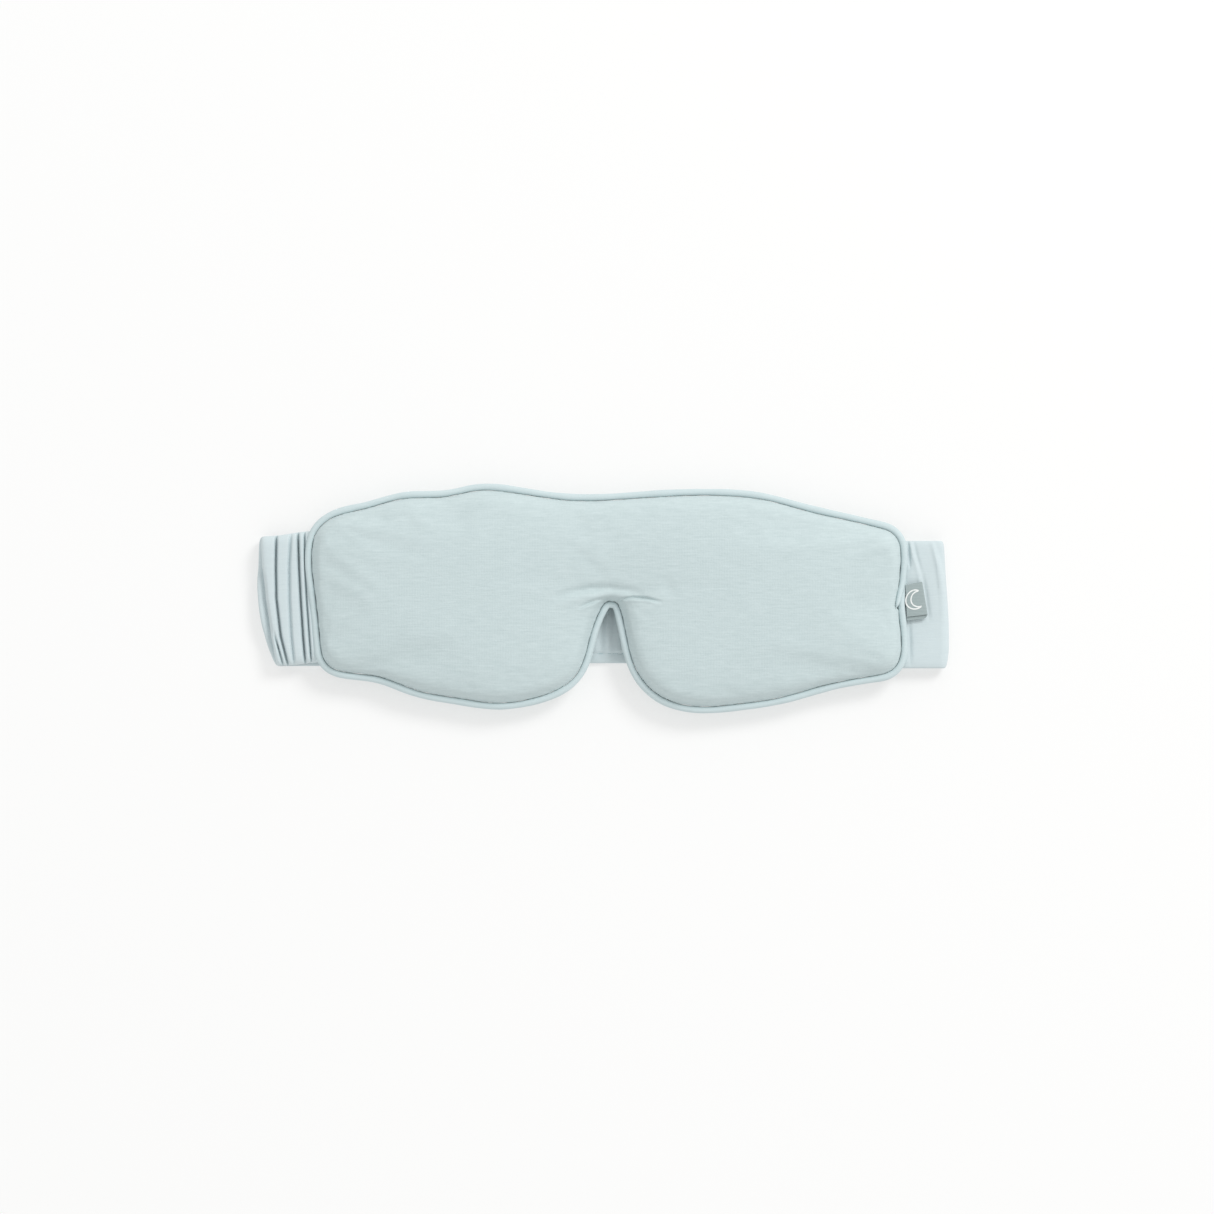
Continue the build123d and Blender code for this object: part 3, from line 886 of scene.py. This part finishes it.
def crescent(count):
    """The closed middle line of a crescent, as x, y about its middle."""
    outer_turn = np.linspace(math.radians(52), math.radians(308), count)
    outer_arc = MOON_R * np.column_stack([np.cos(outer_turn), np.sin(outer_turn)])
    tip = outer_arc[0]
    inner_x = 1.35 * MM
    inner_r = math.hypot(tip[0] - inner_x, tip[1])
    tip_turn = math.atan2(tip[1], tip[0] - inner_x)
    inner_turn = np.linspace(2 * math.pi - tip_turn, tip_turn, count // 2)[1:-1]
    inner_arc = np.column_stack([inner_x + inner_r * np.cos(inner_turn), inner_r * np.sin(inner_turn)])
    return np.vstack([outer_arc, inner_arc])


middle = crescent(40)
normal = outward(middle)
ring = np.vstack([middle + normal * MOON_LINE / 2, middle - normal * MOON_LINE / 2])
bpy.ops.object.select_all(action="DESELECT")
bpy.ops.mesh.primitive_circle_add(vertices=len(middle), radius=1, fill_type="NOTHING")
moon = name_new("label_moon")
bpy.ops.object.mode_set(mode="EDIT")
bpy.ops.mesh.select_all(action="SELECT")
bpy.ops.mesh.extrude_region_move(TRANSFORM_OT_translate={"value": (0, 0, 1)})
bpy.ops.object.mode_set(mode="OBJECT")
raw = points_of(moon)
turn = np.arctan2(raw[:, 1], raw[:, 0]) / (2 * np.pi) % 1
order = np.round(turn * len(middle)).astype(int) % len(middle)
flat = ring[order + np.where(raw[:, 2] > 0.5, 0, len(middle))]
root, free = np.array(UPPER[:2]) * MM, np.array(UPPER[2:]) * MM
centre = ((1 - MOON_S) * root + MOON_S * free).mean(axis=0)
wide = np.linalg.norm(free.mean(axis=0) - root.mean(axis=0))
tall_label = np.linalg.norm(root[0] - root[1])
s = MOON_S + flat[:, 0] / wide
t = MOON_T - flat[:, 1] / tall_label
z = LABEL_Z + LAYER_GAP + RIBBON / 2 + 0.06 * MM + label_sag(s, t)
move_points(moon, np.column_stack([on_layer(UPPER, s, t), z]))
give_thickness(moon, 0.16 * MM)
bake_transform(moon)
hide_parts("label_motif")
print("moon", len(moon.data.polygons), "faces,", millimetres(moon.dimensions), "mm")

# %% [markdown]
# Now the finishes. Hex colours, as picked from a swatch, are turned into the linear values Blender wants, and
# short functions add the nodes. Every pattern reads Object coordinates, in metres, so its scale is one over a
# real size.

# %% Colour and node helpers
def colour(hex_code):
    """sRGB hex to linear red, green, blue, alpha."""
    parts = [int(hex_code[k:k + 2], 16) / 255 for k in (1, 3, 5)]
    return [c / 12.92 if c <= 0.04045 else ((c + 0.055) / 1.055) ** 2.4 for c in parts] + [1.0]


def new_material(name, base, **shader):
    """A material with a Principled shader. Values that are the same all over are set on its own sockets."""
    material = bpy.data.materials.new(name)
    material.use_nodes = True
    material.diffuse_color = colour(base)
    principled = material.node_tree.nodes["Principled BSDF"]
    principled.inputs["Base Color"].default_value = colour(base)
    for socket, value in shader.items():
        principled.inputs[socket.replace("_", " ")].default_value = value
    return material, principled


def add(material, kind, links=None, values=None, **settings):
    """Adds a node. links ties its inputs to other nodes' outputs, values sets sockets, settings the rest."""
    tree = material.node_tree
    node = tree.nodes.new(kind)
    for key, value in settings.items():
        setattr(node, key, value)
    for key, value in (values or {}).items():
        node.inputs[key].default_value = value
    for key, source in (links or {}).items():
        tree.links.new(source, node.inputs[key])
    return node


def maths(material, operation, first, second):
    """A Math node on two values, each an output of another node or a number."""
    both = {0: first, 1: second}
    numbers = {key: value for key, value in both.items() if isinstance(value, float)}
    links = {key: value for key, value in both.items() if key not in numbers}
    return add(material, "ShaderNodeMath", links, numbers, operation=operation).outputs[0]


def finish_cloth(material, shader, share, dark, light, height, strength, distance):
    """Runs the colour from dark to light by share, and raises a bump by height."""
    mixed = add(material, "ShaderNodeMix", {0: share}, {6: colour(dark), 7: colour(light)}, data_type="RGBA")
    bump = add(material, "ShaderNodeBump", {"Height": height}, {"Strength": strength, "Distance": distance})
    material.node_tree.links.new(mixed.outputs[2], shader.inputs["Base Color"])
    material.node_tree.links.new(bump.outputs["Normal"], shader.inputs["Normal"])
    return material


def at_object(material, angle=0.0, scale=(1, 1, 1)):
    """Object coordinates, turned about Z and scaled."""
    place = add(material, "ShaderNodeTexCoord").outputs["Object"]
    return add(material, "ShaderNodeMapping", {"Vector": place},
               {"Rotation": (0, 0, angle), "Scale": scale}).outputs["Vector"]


def noise(material, size, detail, roughness=0.5):
    """Noise of a real size."""
    return add(material, "ShaderNodeTexNoise", {"Vector": at_object(material)},
               {"Scale": 1 / size, "Detail": detail, "Roughness": roughness}).outputs["Fac"]


print("white is", colour("#ffffff")[:3])

# %% [markdown]
# The mask, its piping and the strap's sleeve are one cloth: a bamboo-viscose jersey, knitted fine from slub
# yarn and dyed pale aqua. Slub yarn is thick and thin by turns, so the knit shows short, faint streaks both
# ways, a few millimetres long; the face is matt, with a soft bloom of fibre at the edges, which the sheen
# gives. The knit's own columns are 0.5 mm apart, too fine to show here, so they are drawn 1.0 mm apart.

# %% The jersey
STREAK_LONG = 6.0 * MM
STREAK_THIN = 0.65 * MM
WALE = 1.0 * MM
STREAK_SHARES, FIBRE_SHARE = (1.0, 0.75), 0.6
MIDDLE_SHADE = (sum(STREAK_SHARES) + FIBRE_SHARE) / 2  # noise is 0.5 on average
BAND = 1 / 3.18  # a Wave texture's bands lie this far apart, over their scale


def jersey(name, light, dark, angle, streak_contrast, bump):
    """Slub jersey: streaks along both directions of the knit, and fine columns in the bump."""
    material, shader = new_material(name, light, Roughness=0.92, IOR=1.46, Sheen_Weight=0.22,
                                    Sheen_Roughness=0.55, Specular_IOR_Level=0.25)
    shade = maths(material, "MULTIPLY", noise(material, 0.8 * MM, 2.0, 0.7), FIBRE_SHARE)
    for quarter, weight in zip((0.0, math.pi / 2), STREAK_SHARES):
        turned = at_object(material, angle + quarter, (1 / STREAK_LONG, 1 / STREAK_THIN, 1 / STREAK_LONG))
        streak = add(material, "ShaderNodeTexNoise", {"Vector": turned},
                     {"Scale": 1.0, "Detail": 3.0, "Roughness": 0.62, "Distortion": 0.35}).outputs["Fac"]
        shade = maths(material, "ADD", shade, maths(material, "MULTIPLY", streak, weight))
    spread = 0.5 / streak_contrast
    share = add(material, "ShaderNodeMapRange", {"Value": shade},
                {"From Min": MIDDLE_SHADE - spread, "From Max": MIDDLE_SHADE + spread}).outputs["Result"]
    wales = add(material, "ShaderNodeTexWave", {"Vector": at_object(material, angle)},
                {"Scale": BAND / WALE, "Distortion": 3.0, "Detail": 2.0, "Detail Scale": 2.0},
                bands_direction="X").outputs["Fac"]
    height = maths(material, "ADD", maths(material, "MULTIPLY", wales, 0.25), shade)
    return finish_cloth(material, shader, share, dark, light, height, bump, 0.12 * MM)


FRONT_JERSEY = jersey("aqua slub jersey, front panel", "#cbd9da", "#bccbcc", 0.0, 1.25, 0.5)
BACK_JERSEY = jersey("aqua slub jersey, back panel", "#cad8d9", "#becdce", 0.0, 1.0, 0.35)
PIPING_JERSEY = jersey("aqua slub jersey, piping cut on the bias", "#cddbdd", "#c2d2d4",
                       math.pi / 4, 0.9, 0.25)
STRAP_JERSEY = jersey("aqua slub jersey, strap sleeve", "#d1dddf", "#c6d3d6", math.pi / 2, 0.8, 0.30)

# %% [markdown]
# The label is woven damask polyester, grey with a white figure: fine ribs run across it, a little shiny on
# their crowns. The stitching is polyester sewing thread, two plies twisted, in the same aqua. The blackout
# liner inside, tightly woven, keeps the light out and shows only in the seam's crack; its near-black colour
# there is painted shade, standing in for the shadow in that crack.

# %% Label, thread and liner
def ribbed(name, light, dark, pitch, angle, roughness, bump, sheen):
    """A ribbed or twisted surface: bands at a real pitch, darker and lower between, with fibre noise."""
    material, shader = new_material(name, light, Roughness=roughness, IOR=1.5, Sheen_Weight=sheen,
                                    Specular_IOR_Level=0.35)
    ribs = add(material, "ShaderNodeTexWave", {"Vector": at_object(material, angle)},
               {"Scale": BAND / pitch, "Distortion": 0.6, "Detail": 2.0}).outputs["Fac"]
    shade = maths(material, "MULTIPLY", ribs, noise(material, 0.6 * MM, 3.0))
    return finish_cloth(material, shader, shade, dark, light, shade, bump, 0.1 * MM)


LABEL_WEAVE = ribbed("grey woven damask label", "#b2bebe", "#94a2a2", 0.55 * MM, math.pi / 2, 0.62, 0.5, 0.1)
MOON_THREAD = ribbed("white damask weft", "#fdfdfb", "#e4e8e6", 0.5 * MM, 0.0, 0.55, 0.4, 0.1)
SEWING_THREAD = ribbed("aqua polyester sewing thread", "#cfdfe1", "#a9bec1", 0.7 * MM, 0.6, 0.5, 0.5, 0.1)
# The liner is a real part, but its near-black colour is painted shade: it darkens the seam's crack.
LINER_WITH_SEAM_SHADE = ribbed("blackout liner, woven, near black as painted seam shade", "#2b3638", "#1c2527", 0.6 * MM, 0.0, 0.8, 0.3, 0.0)
for material, *wearers in ((FRONT_JERSEY, pad_front), (BACK_JERSEY, pad_back), (PIPING_JERSEY, piping),
                           (STRAP_JERSEY, *STRAP), (LABEL_WEAVE, label), (MOON_THREAD, moon),
                           (SEWING_THREAD, left_stitches, right_stitches),
                           (LINER_WITH_SEAM_SHADE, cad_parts["blackout_liner"])):
    for wearer in wearers:
        wearer.data.materials.clear()
        wearer.data.materials.append(material)
    print(material.name, "on", [wearer.name for wearer in wearers])

# %% [markdown]
# The stage is a plain white table, lit as for a catalogue: a broad soft box high on the upper right, and an
# even white surround that fills the shadows. The mask is seen from straight above through a long lens.

# %% Floor, light and camera
bpy.ops.object.select_all(action="DESELECT")
bpy.ops.mesh.primitive_plane_add(size=6)
floor = name_new("floor")
floor_paint, floor_shader = new_material("white acrylic, lit from below", "#b7b7b6", Roughness=0.95,
                                         Specular_IOR_Level=0.1, Emission_Color=colour("#ffffff"),
                                         Emission_Strength=0.475)
relief = add(floor_paint, "ShaderNodeBump", {"Height": noise(floor_paint, 1.5 * MM, 2.0)},
             {"Strength": 0.05, "Distance": 0.05 * MM})
floor_paint.node_tree.links.new(relief.outputs["Normal"], floor_shader.inputs["Normal"])
floor.data.materials.append(floor_paint)

world = bpy.data.worlds.new("white surround")
bpy.context.scene.world = world
world.use_nodes = True
surround = world.node_tree.nodes["Background"].inputs
surround["Color"].default_value = colour("#ffffff")
surround["Strength"].default_value = 0.80

bpy.ops.object.light_add(type="AREA", location=(1.7, 1.9, 2.3))
key = bpy.context.object
key.name = "key_box"
key.data.shape = "SQUARE"
key.data.size = 1.1
key.data.energy = 50.0
key.rotation_euler = (-key.location).to_track_quat("-Z", "Y").to_euler()  # facing the mask

CAMERA_HIGH = 2.0
VIEW_WIDE = 456.5 * MM
SENSOR = 36.0
bpy.ops.object.camera_add(location=(1.2 * MM, -3.2 * MM, CAMERA_HIGH), rotation=(0, 0, 0))
camera = bpy.context.object
camera.data.sensor_width = SENSOR
camera.data.lens = SENSOR * (CAMERA_HIGH - SEAM_Z) / VIEW_WIDE
camera.data.clip_start = 0.01
bpy.context.scene.camera = camera
bpy.context.scene.view_settings.view_transform = "Standard"
print("lens", round(camera.data.lens, 1), "mm on a", SENSOR, "mm sensor")
